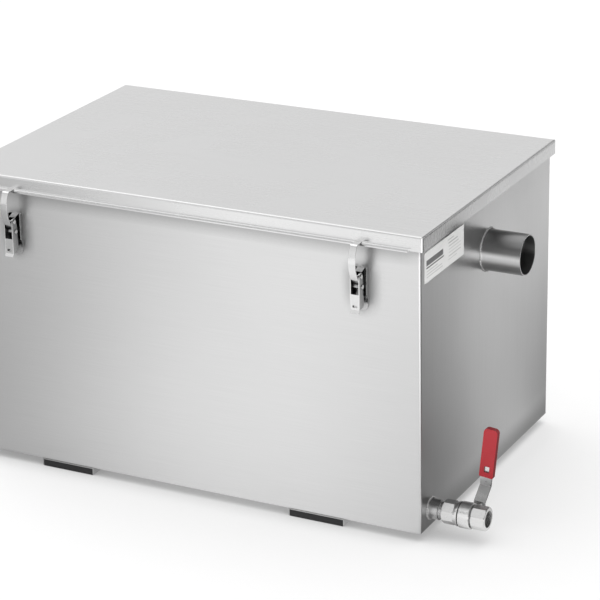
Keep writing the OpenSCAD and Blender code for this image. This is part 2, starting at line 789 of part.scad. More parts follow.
// The outlet half: barrel, stem boss and threaded outlet
module valve_body() {
    far = end_len + barrel_len;
    seat_end = ball_at + seat_reach;
    barrel_r = barrel_d / 2;
    neck_r = end_af / 2 - turned;
    color(nickel) at_valve() difference() {
        union() {
            rotate_extrude() polygon([[0, end_len], [barrel_r - turned, end_len],
                [barrel_r, end_len + turned], [barrel_r, far - turned], [barrel_r - turned, far],
                [neck_r, far], [neck_r, far + 2 * groove], [0, far + 2 * groove]]);
            turned_bar(far + groove, valve_len, end_af);
            translate([0, 0, ball_at]) rotate([-90, 0, 0]) cylinder(r = boss_r, h = boss_out);
        }
        translate([0, 0, end_len - eps]) cylinder(r = spigot_r + weld_gap, h = spigot_len + weld_gap + eps);
        translate([0, 0, end_len]) cylinder(r = cavity_r, h = seat_end - end_len);
        cylinder(r = port_r, h = valve_len);
        translate([0, 0, valve_len - outlet_depth]) cylinder(d = outlet_bore, h = outlet_depth + eps);
        translate([0, 0, ball_at]) rotate([-90, 0, 0])
            cylinder(r = stem_d / 2 + stem_play, h = boss_out + eps);
    }
}

// A plastic ring that the ball runs against
module valve_seat(side) {
    thick = 5;
    color(white) at_valve() translate([0, 0, ball_at]) difference() {
        translate([0, 0, side * (seat_reach - thick / 2)])
            cylinder(r = cavity_r - weld_gap, h = thick, center = true);
        cylinder(r = port_r, h = 4 * ball_r, center = true);
        sphere(ball_r + seat_gap);
    }
}

module valve_seat_inner() { valve_seat(-1); }
module valve_seat_outer() { valve_seat(1); }

// The stem's frame: its origin at the ball, Y along the stem, Z along the closed lever
module at_stem() {
    placed() translate([valve_x + ball_at, drain_y, drain_z]) rotate([0, lean, 0]) children();
}

module on_stem(from, to) {
    translate([0, from, 0]) rotate([-90, 0, 0]) linear_extrude(to - from) children();
}

module valve_ball() {
    color(bright) at_stem() difference() {
        sphere(ball_r);
        cylinder(r = port_r, h = 4 * ball_r, center = true);
        translate([0, ball_r - tang_depth / 2, 0])
            cube([tang_w, tang_depth + eps, 4 * ball_r], center = true);
    }
}

// The stem, with a flat tang in the ball's slot
module valve_stem() {
    low = ball_r + seat_gap;
    color(nickel) at_stem() {
        on_stem(low, lever_out + strip_t + nut_t + stem_over) circle(d = stem_d);
        translate([0, low - tang_depth / 2 + weld_gap, 0])
            cube([tang_w - 2 * weld_gap, tang_depth, stem_d - 2], center = true);
    }
}

module valve_gland_nut() {
    color(nickel) placed() translate([valve_x + ball_at, drain_y, drain_z])
        on_stem(boss_out, boss_out + gland_t) difference() {
            circle(r = gland_af / 2 / cos(30), $fn = 6);
            circle(d = stem_d + 2 * stem_play);
        }
}

// The lever's middle line in (y, z), from the stem to its end
lever_line = [[lever_out + strip_t / 2, 0], [lever_out + strip_t / 2, step_start],
    [lever_out + strip_t / 2 + step_back, step_start + step_len],
    [lever_out + strip_t / 2 + step_back, strip_len]];

module valve_lever() {
    hub_over = 1;
    color(dull) at_stem() difference() {
        union() {
            rotate([90, 0, 90]) linear_extrude(strip_w, center = true) ribbon(lever_line, strip_t);
            on_stem(lever_out, lever_out + strip_t) circle(strip_w / 2 + hub_over);
        }
        on_stem(lever_out - eps, lever_out + strip_t + eps) circle(d = stem_d + 2 * weld_gap);
    }
}

module valve_lever_nut() {
    color(bright) at_stem() on_stem(lever_out + strip_t, lever_out + strip_t + nut_t) difference() {
        circle(r = nut_af / 2 / cos(30), $fn = 6);
        circle(d = stem_d + 2 * weld_gap);
    }
}

module grip_outline(half) {
    low = grip_low_r;
    polygon(concat(
        arc([half - grip_r, grip_len - grip_r], grip_r, 0, 90),
        arc([grip_r - half, grip_len - grip_r], grip_r, 90, 180),
        arc([low - half, low], low, 180, 270), arc([half - low, low], low, 270, 360)));
}

// The plastic grip over the lever's end, with a small window in its front
module valve_grip() {
    skin = (grip_t - strip_t) / 2;
    from_z = strip_len + skin - grip_len;
    mid_y = lever_out + strip_t / 2 + step_back;
    color(red) at_stem() difference() {
        translate([0, mid_y, from_z]) rotate([90, 0, 0])
            linear_extrude(grip_t, center = true) grip_outline(grip_w / 2);
        translate([-strip_w / 2 - weld_gap, mid_y - strip_t / 2 - weld_gap, from_z - eps])
            cube([strip_w + 2 * weld_gap, strip_t + 2 * weld_gap, grip_len - skin + eps + weld_gap]);
        translate([-window / 2, mid_y - grip_t, from_z + window]) cube([window, grip_t, window * 1.15]);
    }
}

tank_body();
lid_shell();
lid_gasket();
inlet_pipe();
outlet_pipe();
outlet_elbow();
inlet_baffle();
outlet_baffle();
inlet_guide_front();
inlet_guide_rear();
outlet_guide_front();
outlet_guide_rear();
sediment_basket();
basket_handle();
basket_ledge_front();
basket_ledge_rear();
foot_channel_left();
foot_channel_right();
foot_pad_left();
foot_pad_right();
latch_base(front_left);  // latch_base_front_left
latch_base(front_right);  // latch_base_front_right
latch_base(rear_left);  // latch_base_rear_left
latch_base(rear_right);  // latch_base_rear_right
latch_lever(front_left);  // latch_lever_front_left
latch_lever(front_right);  // latch_lever_front_right
latch_lever(rear_left);  // latch_lever_rear_left
latch_lever(rear_right);  // latch_lever_rear_right
latch_strap(front_left);  // latch_strap_front_left
latch_strap(front_right);  // latch_strap_front_right
latch_strap(rear_left);  // latch_strap_rear_left
latch_strap(rear_right);  // latch_strap_rear_right
latch_pivot(front_left);  // latch_pivot_front_left
latch_pivot(front_right);  // latch_pivot_front_right
latch_pivot(rear_left);  // latch_pivot_rear_left
latch_pivot(rear_right);  // latch_pivot_rear_right
latch_pin(front_left);  // latch_pin_front_left
latch_pin(front_right);  // latch_pin_front_right
latch_pin(rear_left);  // latch_pin_rear_left
latch_pin(rear_right);  // latch_pin_rear_right
drain_nipple();
valve_end_piece();
valve_body();
valve_seat_inner();
valve_seat_outer();
valve_ball();
valve_stem();
valve_gland_nut();
valve_lever();
valve_lever_nut();
valve_grip();
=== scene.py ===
# %% [markdown]
# # A stainless-steel grease trap
# This trap stands under a kitchen sink: a folded steel tank with a lift-off lid, four over-centre
# latches, a pipe on each side and a drain valve with a red grip. Its solids come packed from CAD,
# so this script starts by loading them. Everything that follows dresses those solids: it never
# moves them. The box of the bare solids is kept.

# %% Load the solids
import json
import math

import bmesh
import bpy
from mathutils import Matrix, Vector

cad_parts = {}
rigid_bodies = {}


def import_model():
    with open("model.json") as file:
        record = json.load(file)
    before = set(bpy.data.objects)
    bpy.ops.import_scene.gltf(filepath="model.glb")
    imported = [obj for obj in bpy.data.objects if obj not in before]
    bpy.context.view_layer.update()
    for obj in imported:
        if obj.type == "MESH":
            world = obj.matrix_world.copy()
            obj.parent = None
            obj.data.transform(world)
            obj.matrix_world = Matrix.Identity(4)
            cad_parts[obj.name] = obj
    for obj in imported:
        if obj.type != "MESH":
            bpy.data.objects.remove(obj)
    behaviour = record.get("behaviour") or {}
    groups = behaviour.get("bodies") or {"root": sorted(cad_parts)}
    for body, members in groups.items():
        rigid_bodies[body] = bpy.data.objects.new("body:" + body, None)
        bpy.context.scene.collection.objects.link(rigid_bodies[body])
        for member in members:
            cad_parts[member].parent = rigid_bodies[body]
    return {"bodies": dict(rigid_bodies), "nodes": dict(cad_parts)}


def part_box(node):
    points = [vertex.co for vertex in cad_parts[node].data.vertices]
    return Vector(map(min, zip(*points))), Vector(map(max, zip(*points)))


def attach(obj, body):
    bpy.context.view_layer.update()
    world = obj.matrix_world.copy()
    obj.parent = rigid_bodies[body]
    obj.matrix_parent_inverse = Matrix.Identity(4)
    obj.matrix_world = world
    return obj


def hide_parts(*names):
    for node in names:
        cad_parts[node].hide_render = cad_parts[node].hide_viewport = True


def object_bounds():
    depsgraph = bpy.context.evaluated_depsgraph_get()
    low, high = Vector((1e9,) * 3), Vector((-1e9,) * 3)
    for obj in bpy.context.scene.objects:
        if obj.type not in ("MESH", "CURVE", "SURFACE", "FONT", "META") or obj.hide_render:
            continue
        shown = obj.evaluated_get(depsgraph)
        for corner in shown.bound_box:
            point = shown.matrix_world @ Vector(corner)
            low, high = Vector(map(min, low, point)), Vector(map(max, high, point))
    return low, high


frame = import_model()
solids = frame["nodes"]
cad_low, cad_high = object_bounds()
print(len(solids), "solids,", [round(v * 1000) for v in cad_high - cad_low], "mm")

# %% [markdown]
# ## The camera
# The photograph was taken with a long lens from the right, a little above the lid. A camera can be
# aimed by eye, but here the lid's corners and the tank's edges were matched to the picture, which
# gave a direction, a small roll and a distance. The three axes of the camera are built from those
# angles, because a matrix holds a roll without any extra constraint.

# %% Place the camera
AZIMUTH, ELEVATION, ROLL = (math.radians(d) for d in (27.43, 20.93, -1.18))
CAMERA_AT = Vector((1.40525, -2.6299, 1.3291))

side = Vector((math.cos(AZIMUTH), math.sin(AZIMUTH), 0))
back = Vector((math.sin(AZIMUTH) * math.cos(ELEVATION),
               -math.cos(AZIMUTH) * math.cos(ELEVATION), math.sin(ELEVATION)))
over = back.cross(side)
across = math.cos(ROLL) * side + math.sin(ROLL) * over
upward = -math.sin(ROLL) * side + math.cos(ROLL) * over

camera = bpy.data.objects.new("Camera", bpy.data.cameras.new("Camera"))
camera.data.lens, camera.data.sensor_width = 153.0, 36.0
camera.data.clip_end = 100
camera.matrix_world = Matrix.Translation(CAMERA_AT) @ Matrix((across, upward, back)).transposed().to_4x4()
bpy.context.collection.objects.link(camera)
bpy.context.scene.camera = camera
bpy.context.scene.view_settings.view_transform = "Standard"
print("camera", round((CAMERA_AT - (cad_low + cad_high) / 2).length, 2), "m from the trap")

# %% [markdown]
# ## Building node trees
# Every finish below is a small tree of nodes. Adding a node, setting its values and joining it to
# others takes three statements each time, so one helper does it: a value that is a socket is
# linked, and anything else is typed into the input.

# %% Helpers for nodes
def add(tree, kind, inputs=None, **settings):
    node = tree.nodes.new(kind)
    for key, value in settings.items():
        setattr(node, key, value)
    for key, value in (inputs or {}).items():
        if isinstance(value, bpy.types.NodeSocket):
            tree.links.new(value, node.inputs[key])
        else:
            node.inputs[key].default_value = value
    return node


def calc(tree, operation, *values):
    return add(tree, "ShaderNodeMath", dict(enumerate(values)), operation=operation).outputs[0]


def blend_colours(tree, factor, first, second):
    node = add(tree, "ShaderNodeMix", {0: factor, 6: first, 7: second}, data_type="RGBA")
    return node.outputs[2]


def spread(tree, value, low, high):
    """Takes a value that runs from 0 to 1 to a range from low to high."""
    return add(tree, "ShaderNodeMapRange", {"Value": value, "To Min": low, "To Max": high}).outputs[0]


def grey(value, warmth=0.0):
    return (value * (1 + warmth), value, value * (1 - warmth), 1)


print("node helpers ready")

# %% [markdown]
# ## Effects that several finishes share
# Brushed sheet has fine lines that run one way, with broader bands among them. Handling leaves
# cloudy patches that are a little duller. Moulded rubber and plastic have a fine pebbled skin.
# Shade falls where pieces stand close together, so a last group finds those places for painted shade.
# Each effect is a shader group with named sockets, so that every material can place it with its
# own scale. The groups put out plain values, and the shaders stay in the materials.

# %% The brushed lines group
def shader_group(name, inputs, outputs):
    tree = bpy.data.node_groups.new(name, "ShaderNodeTree")
    for label, kind, value in inputs:
        socket = tree.interface.new_socket(label, in_out="INPUT", socket_type="NodeSocket" + kind)
        if value is not None:
            socket.default_value = value
    for label in outputs:
        tree.interface.new_socket(label, in_out="OUTPUT", socket_type="NodeSocketFloat")
    return tree, tree.nodes.new("NodeGroupInput").outputs, tree.nodes.new("NodeGroupOutput").inputs


brushed_lines, given, result = shader_group(
    "Brushed lines",
    [("Vector", "Vector", None), ("Line Length", "Float", 0.06), ("Line Width", "Float", 0.0004)],
    ["Lines", "Bands"])
for label, coarser in (("Lines", 1.0), ("Bands", 14.0)):
    along = calc(brushed_lines, "DIVIDE", 1 / math.sqrt(coarser), given["Line Length"])
    across_lines = calc(brushed_lines, "DIVIDE", 1 / coarser, given["Line Width"])
    scale = add(brushed_lines, "ShaderNodeCombineXYZ", {0: along, 1: across_lines, 2: across_lines})
    place = add(brushed_lines, "ShaderNodeVectorMath", {0: given["Vector"], 1: scale.outputs[0]},
                operation="MULTIPLY")
    noise = add(brushed_lines, "ShaderNodeTexNoise",
                {"Vector": place.outputs[0], "Scale": 1.0, "Detail": 2.0, "Roughness": 0.6})
    brushed_lines.links.new(noise.outputs["Fac"], result[label])
print("group:", brushed_lines.name)

# %% The handling, pebbled skin and gap groups
handling, given, result = shader_group(
    "Handling marks", [("Vector", "Vector", None), ("Patch Size", "Float", 0.09)], ["Patches"])
clouds = add(handling, "ShaderNodeTexNoise",
             {"Vector": given["Vector"], "Scale": calc(handling, "DIVIDE", 1.0, given["Patch Size"]),
              "Detail": 4.0, "Roughness": 0.55, "Distortion": 0.4})
patches = add(handling, "ShaderNodeMapRange",
              {"Value": clouds.outputs["Fac"], "From Min": 0.42, "From Max": 0.68},
              interpolation_type="SMOOTHSTEP")
handling.links.new(patches.outputs[0], result["Patches"])

pebbles, given, result = shader_group(
    "Pebbled skin", [("Vector", "Vector", None), ("Pebble Size", "Float", 0.0006)], ["Height", "Tone"])
size = calc(pebbles, "DIVIDE", 1.0, given["Pebble Size"])
cells = add(pebbles, "ShaderNodeTexVoronoi", {"Vector": given["Vector"], "Scale": size},
            feature="SMOOTH_F1")
tone = add(pebbles, "ShaderNodeTexNoise",
           {"Vector": given["Vector"], "Scale": calc(pebbles, "MULTIPLY", size, 0.04), "Detail": 3.0})
pebbles.links.new(cells.outputs["Distance"], result["Height"])
pebbles.links.new(tone.outputs["Fac"], result["Tone"])

# Painted shade: ambient occlusion finds where pieces stand close, and the colour is darkened there.
gaps, given, result = shader_group(
    "Gap shade", [("Reach", "Float", 0.02), ("Open", "Float", 1.0), ("Shut", "Float", 0.2)], ["Grime"])
shut_in = add(gaps, "ShaderNodeAmbientOcclusion", {"Distance": given["Reach"]}, samples=8)
painted_shade = add(gaps, "ShaderNodeMapRange",
            {"Value": shut_in.outputs["AO"], "From Min": given["Open"], "From Max": given["Shut"]})
gaps.links.new(painted_shade.outputs[0], result["Grime"])
print("groups:", handling.name, pebbles.name, gaps.name)

# %% [markdown]
# ## Painted shade and highlights
# Shade is painted into the steel's colour: under a lip, near the floor and where pieces stand close,
# and on a tube above and below its side. A few faces get a painted highlight instead. Each such place
# is a mask: a value from 0 to 1 that nodes work out from the direction a face looks in, from its
# height, or from the gap-shade group. The colour is then blended towards another tone by that mask.

# %% Masks and shading
def new_material(name):
    material = bpy.data.materials.new(name)
    material.use_nodes = True
    tree = material.node_tree
    shader = tree.nodes["Principled BSDF"]
    point = tree.nodes.new("ShaderNodeTexCoord")
    return material, tree, shader, point


def between(tree, value, start, end):
    return add(tree, "ShaderNodeMapRange", {"Value": value, "From Min": start, "From Max": end},
               interpolation_type="SMOOTHSTEP").outputs[0]


def height_of(tree, point):
    return add(tree, "ShaderNodeSeparateXYZ", {0: point.outputs["Object"]}).outputs[2]


def looks(tree, point, axis):
    return add(tree, "ShaderNodeSeparateXYZ", {0: point.outputs["Normal"]}).outputs[axis]


def faces(tree, point, axis):
    """Is 1 on faces that look along an axis, either way."""
    return calc(tree, "GREATER_THAN", calc(tree, "ABSOLUTE", looks(tree, point, axis)), 0.7)


def turned_up(start, end):
    """A mask that grows as faces turn from one upward slope to another."""
    return lambda tree, point: between(tree, looks(tree, point, 2), start, end)


def long_walls(tree, point):
    above_feet = between(tree, height_of(tree, point), 0.05, 0.10)
    return calc(tree, "MULTIPLY", faces(tree, point, 1), above_feet)


def foot_of_ends(tree, point):
    near_floor = between(tree, height_of(tree, point), 0.046, 0.012)
    return calc(tree, "MULTIPLY", faces(tree, point, 0), near_floor)


def shaded(tree, point, colour, tone, where=None, reach=0.0, open_at=1.0, shut_at=0.2):
    """Paints shade or a highlight: takes a colour to a grey tone on the faces that a mask picks and, given a
    reach, only in gaps.
    """
    amount = where(tree, point) if where else 1.0
    if reach:
        painted_shade = add(tree, "ShaderNodeGroup", node_tree=gaps)
        for label, value in (("Reach", reach), ("Open", open_at), ("Shut", shut_at)):
            painted_shade.inputs[label].default_value = value
        amount = calc(tree, "MULTIPLY", amount, painted_shade.outputs["Grime"])
    return blend_colours(tree, amount, colour, grey(tone))


print("shading ready, with the", gaps.name, "group")

# %% [markdown]
# ## Brushed sheet
# The tank and the lid are the same stainless sheet. On the long walls and the lid the lines run
# along the trap, and on the two end walls they run up and down. One texture can do both: where a
# face looks sideways, the coordinates are swapped before they reach the group. The lines change
# the roughness and a faint bump, which spreads reflections across the lines as real grain does.
# Faces that look towards the tank's middle are its inside. They are less metallic, because light
# that has bounced between steel walls many times is as even as light on a dull surface.

# %% The sheet finishes
def swapped(tree, vector, order):
    """The same coordinates in another order, such as 'zyx'."""
    parts = add(tree, "ShaderNodeSeparateXYZ", {0: vector}).outputs
    picked = {i: parts["xyz".index(letter)] for i, letter in enumerate(order)}
    return add(tree, "ShaderNodeCombineXYZ", picked).outputs[0]


def brushed_sheet(name, dark, light, rough, width=0.0006, length=0.09, bump=0.03, order="xyz",
                  upright_ends=False, patch=0.16, dulling=0.02, metallic=1.0, shades=(), inside=0.0):
    material, tree, shader, point = new_material(name)
    vector = point.outputs["Object"]
    along = swapped(tree, vector, order) if order != "xyz" else vector
    if upright_ends:
        upright = swapped(tree, vector, "zyx")
        along = add(tree, "ShaderNodeMix", {0: faces(tree, point, 0), 4: along, 5: upright},
                    data_type="VECTOR").outputs[1]
    grain = add(tree, "ShaderNodeGroup", node_tree=brushed_lines)
    tree.links.new(along, grain.inputs["Vector"])
    grain.inputs["Line Length"].default_value = length
    grain.inputs["Line Width"].default_value = width
    marks = add(tree, "ShaderNodeGroup", node_tree=handling)
    tree.links.new(vector, marks.inputs["Vector"])
    marks.inputs["Patch Size"].default_value = patch
    lines, bands = grain.outputs["Lines"], grain.outputs["Bands"]
    mixed = calc(tree, "MULTIPLY_ADD", bands, 0.15, calc(tree, "MULTIPLY", lines, 0.85))
    colour = blend_colours(tree, mixed, grey(dark), grey(light))
    # Painted shade and highlights: each entry takes the colour towards a grey tone where its mask picks.
    for shade in shades:
        colour = shaded(tree, point, colour, **shade)
    tree.links.new(colour, shader.inputs["Base Color"])
    dull = calc(tree, "MULTIPLY", marks.outputs["Patches"], dulling)
    tree.links.new(calc(tree, "ADD", spread(tree, mixed, rough - 0.02, rough + 0.02), dull),
                   shader.inputs["Roughness"])
    relief = add(tree, "ShaderNodeBump", {"Height": lines, "Strength": bump, "Distance": 0.0003})
    tree.links.new(relief.outputs[0], shader.inputs["Normal"])
    shader.inputs["Metallic"].default_value = metallic
    if inside:
        middle = (cad_low + cad_high) / 2
        outward = add(tree, "ShaderNodeVectorMath", {0: vector, 1: middle}, operation="SUBTRACT")
        facing = add(tree, "ShaderNodeVectorMath", {0: outward.outputs[0], 1: point.outputs["Normal"]},
                     operation="DOT_PRODUCT").outputs["Value"]
        inner = calc(tree, "LESS_THAN", facing, 0.0)
        tree.links.new(spread(tree, inner, metallic, inside), shader.inputs["Metallic"])
    return material


# Painted shade: under the lid's lip on the long walls, and darker towards the floor on the end walls.
SHADE_UNDER_LIP = {"tone": 0.46, "where": long_walls, "reach": 0.022, "shut_at": 0.80}
SHADE_NEAR_FLOOR = {"tone": 0.34, "where": foot_of_ends}
tank_finish = brushed_sheet("brushed_tank_sheet", 0.66, 0.76, 0.32, upright_ends=True, bump=0.02,
                            shades=[SHADE_UNDER_LIP, SHADE_NEAR_FLOOR], inside=0.7)
lid_finish = brushed_sheet("brushed_lid_sheet", 0.71, 0.76, 0.27, upright_ends=True, bump=0.006)
inner_finish = brushed_sheet("mill_sheet", 0.60, 0.74, 0.36, order="zyx", bump=0.06, metallic=0.7)
print("sheet finishes:", tank_finish.name, lid_finish.name, inner_finish.name)

# %% [markdown]
# ## Other metals
# The pipes are turned tube, so their lines run round them. Painted shade darkens their top and
# underside, which leaves a bright line along their side. The latches are small polished pressings,
# with painted shade on their sides and between their cheeks, and a painted highlight on faces that
# look up. The lever of the valve is a zinc-plated strip with a bend, and painted shade darkens the
# slanting length below the bend. Painted shade also darkens the top of the drain nipple. All of
# these use the brushed group with other values.

# %% The other steel finishes
# Painted shade on the lever's slanting length below the bend.
def below_bend(tree, point):
    under_grip = calc(tree, "LESS_THAN", height_of(tree, point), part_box("valve_grip")[0].z)
    slanting = between(tree, looks(tree, point, 1), -0.99, -0.93)
    return calc(tree, "MULTIPLY", under_grip, slanting)


SHADE_BELOW_BEND = {"tone": 0.36, "where": below_bend}
# Painted shade on a tube's top and underside.
SHADE_ON_TUBE_TOP = {"tone": 0.20, "where": turned_up(0.0, 0.32)}
SHADE_UNDER_TUBE = {"tone": 0.38, "where": turned_up(-0.12, -0.42)}
# Painted shade on the nipple's top.
SHADE_ON_NIPPLE_TOP = {"tone": 0.16, "where": turned_up(0.40, 0.80)}
# Painted highlight on latch faces that look up.
HIGHLIGHT_FACING_UP = {"tone": 0.97, "where": turned_up(0.85, 0.97)}
# Painted shade on latch faces that don't look up, where other pieces stand close.
SHADE_ON_SIDES = {"tone": 0.10, "where": turned_up(0.80, 0.30), "reach": 0.06, "shut_at": 0.40}
pipe_finish = brushed_sheet("turned_tube", 0.60, 0.72, 0.29, order="yxx", length=0.09, metallic=0.9,
                            shades=[SHADE_ON_TUBE_TOP, SHADE_UNDER_TUBE])
nipple_finish = brushed_sheet("drawn_nipple", 0.48, 0.62, 0.22, order="yxx", length=0.09, metallic=0.9,
                              shades=[SHADE_ON_NIPPLE_TOP])
latch_finish = brushed_sheet("polished_pressing", 0.68, 0.80, 0.17, order="zyx", length=0.01,
                             width=0.0003, bump=0.05, patch=0.012, shades=[SHADE_ON_SIDES, HIGHLIGHT_FACING_UP])
pin_finish = brushed_sheet("bright_pin", 0.66, 0.76, 0.20, order="yxx", width=0.0002, bump=0.03, patch=0.01)
channel_finish = brushed_sheet("folded_channel", 0.42, 0.54, 0.38, order="yxz", bump=0.06)
strip_finish = brushed_sheet("zinc_strip", 0.80, 0.94, 0.24, order="zyx", length=0.02, width=0.0004,
                             patch=0.014, dulling=0.14, shades=[SHADE_BELOW_BEND])
rod_finish = brushed_sheet("drawn_rod", 0.50, 0.62, 0.30, order="yxz", width=0.0004, patch=0.03)
print("steel:", len(bpy.data.materials), "finishes so far")

# %% [markdown]
# ## Plating
# The valve is nickel-plated brass, which is a little warmer than steel, and its ball is hard
# chrome. Plating has no lines: it has the soft pebbles of the casting below it. Shade is painted
# into its joints and its bores, which the gap-shade group finds, with a short reach for joints and a
# long one for bores, and onto the valve's upper faces.

# %% The plated finishes
# Painted shade in bores and joints, and on the valve's upper faces.
SHADE_IN_BORES = {"tone": 0.08, "reach": 0.03, "open_at": 0.55, "shut_at": 0.15}
SHADE_IN_JOINTS = {"tone": 0.32, "reach": 0.003, "open_at": 0.95, "shut_at": 0.35}
SHADE_ON_VALVE_TOP = {"tone": 0.34, "where": turned_up(0.50, 0.95)}


def plated(name, dark, light, warmth, rough, pebble, bump, metallic=1.0, shades=()):
    """A cast or turned piece under bright plating: soft pebbles, no lines."""
    material, tree, shader, point = new_material(name)
    skin = add(tree, "ShaderNodeGroup", node_tree=pebbles)
    tree.links.new(point.outputs["Object"], skin.inputs["Vector"])
    skin.inputs["Pebble Size"].default_value = pebble
    tone = skin.outputs["Tone"]
    colour = blend_colours(tree, tone, grey(dark, warmth), grey(light, warmth))
    for shade in (SHADE_IN_BORES, SHADE_IN_JOINTS, *shades):
        colour = shaded(tree, point, colour, **shade)
    tree.links.new(colour, shader.inputs["Base Color"])
    tree.links.new(spread(tree, tone, rough - 0.04, rough + 0.06), shader.inputs["Roughness"])
    relief = add(tree, "ShaderNodeBump",
                 {"Height": skin.outputs["Height"], "Strength": bump, "Distance": 0.0002})
    tree.links.new(relief.outputs[0], shader.inputs["Normal"])
    shader.inputs["Metallic"].default_value = metallic
    return material


nickel_finish = plated("nickel_plating", 0.76, 0.92, 0.003, 0.22, 0.0016, 0.5, metallic=0.86,
                       shades=[SHADE_ON_VALVE_TOP])
chrome_finish = plated("hard_chrome", 0.72, 0.80, 0.0, 0.07, 0.002, 0.02)
print("plating:", nickel_finish.name, chrome_finish.name)

# %% [markdown]
# ## Plastic and rubber
# The grip is dipped in soft red vinyl, which has a low gloss and a slightly wavy skin. Its edges
# are painted a deeper red, as painted shade. The wall behind it would mirror it as a red cloud that
# the photograph doesn't show, so mirrored rays see a duller red. The foot strips and the gasket are
# black rubber. The ball's seats are waxy white plastic. They share the pebbled skin, and differ in
# size, colour and gloss.

# %% The plastic and rubber finishes
def moulded(name, dark, light, rough, pebble, bump, coat=0.0, edge=None, mirrored=None):
    material, tree, shader, point = new_material(name)
    skin = add(tree, "ShaderNodeGroup", node_tree=pebbles)
    tree.links.new(point.outputs["Object"], skin.inputs["Vector"])
    skin.inputs["Pebble Size"].default_value = pebble
    colour = blend_colours(tree, skin.outputs["Tone"], dark, light)
    # Painted shade: faces that turn away from the flat sides take the deeper edge colour.
    if edge:
        flat = calc(tree, "ABSOLUTE", looks(tree, point, 1))
        colour = blend_colours(tree, between(tree, flat, 0.98, 0.75), colour, edge)
    if mirrored:
        in_metal = add(tree, "ShaderNodeLightPath").outputs["Is Glossy Ray"]
        colour = blend_colours(tree, in_metal, colour, mirrored)
    tree.links.new(colour, shader.inputs["Base Color"])
    tree.links.new(spread(tree, skin.outputs["Tone"], rough - 0.06, rough + 0.06), shader.inputs["Roughness"])
    relief = add(tree, "ShaderNodeBump",
                 {"Height": skin.outputs["Height"], "Strength": bump, "Distance": 0.0003})
    tree.links.new(relief.outputs[0], shader.inputs["Normal"])
    if coat:
        shader.inputs["Coat Weight"].default_value = coat
        shader.inputs["Coat Roughness"].default_value = 0.25
    return material


vinyl_finish = moulded("red_dipped_vinyl", (0.50, 0.016, 0.028, 1), (0.62, 0.030, 0.045, 1), 0.42, 0.0011,
                       0.10, coat=0.08, edge=(0.26, 0.008, 0.014, 1), mirrored=(0.22, 0.10, 0.10, 1))
rubber_finish = moulded("black_rubber", (0.012, 0.012, 0.013, 1), (0.030, 0.030, 0.031, 1), 0.72, 0.0005, 0.3)
seat_finish = moulded("waxy_white", (0.80, 0.80, 0.77, 1), (0.86, 0.86, 0.83, 1), 0.42, 0.0008, 0.05)
print("plastic and rubber:", vinyl_finish.name, rubber_finish.name, seat_finish.name)

# %% [markdown]
# ## Finishing the solids
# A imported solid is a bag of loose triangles, which shades in facets and has knife-sharp edges.
# Real sheet has broken edges that catch the light. So a copy of each visible solid is welded
# together, its flat faces are joined, a fine bevel rounds its edges, and normals weighted by face
# area keep the flats flat. The copy then stands for the solid, which stays hidden for collisions.

# %% The finishing step
WELD, FLAT, CREASE = 2e-6, math.radians(0.4), math.radians(32)
body_of = {name: next(b for b, e in frame["bodies"].items() if e is solid.parent)
           for name, solid in solids.items()}


def plain_mesh(piece):
    """Turns a piece's modifiers into its own mesh."""
    graph = bpy.context.evaluated_depsgraph_get()
    made = bpy.data.meshes.new_from_object(piece.evaluated_get(graph), preserve_all_data_layers=True,
                                           depsgraph=graph)
    piece.modifiers.clear()
    piece.data = made
    return piece


def new_piece(name, mesh):
    piece = bpy.data.objects.new(name, mesh)
    bpy.context.collection.objects.link(piece)
    return piece


def finish_solid(name, material, bevel=0.0002):
    shape = bmesh.new()
    shape.from_mesh(solids[name].data)
    bmesh.ops.remove_doubles(shape, verts=shape.verts, dist=WELD)
    bmesh.ops.dissolve_limit(shape, angle_limit=FLAT, verts=shape.verts, edges=shape.edges)
    for face in shape.faces:
        face.smooth = True
        face.material_index = 0
    for edge in shape.edges:
        edge.smooth = bool(bevel) or edge.calc_face_angle(0.0) < CREASE
    mesh = bpy.data.meshes.new(name + "_mesh")
    shape.to_mesh(mesh)
    shape.free()
    mesh.materials.append(material)
    piece = new_piece(name + "_finished", mesh)
    if bevel:
        edge_break = piece.modifiers.new("edge_break", "BEVEL")
        edge_break.width, edge_break.segments = bevel, 2
        edge_break.limit_method, edge_break.angle_limit = "ANGLE", CREASE
    weighted = piece.modifiers.new("flats", "WEIGHTED_NORMAL")
    weighted.keep_sharp, weighted.weight = not bevel, 100
    plain_mesh(piece)
    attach(piece, body_of[name])
    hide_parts(name)
    return piece


# %% [markdown]
# ## Which finish goes where
# The pieces are listed by what they are made of. The names of the four latches share an ending, so
# one loop takes them all.

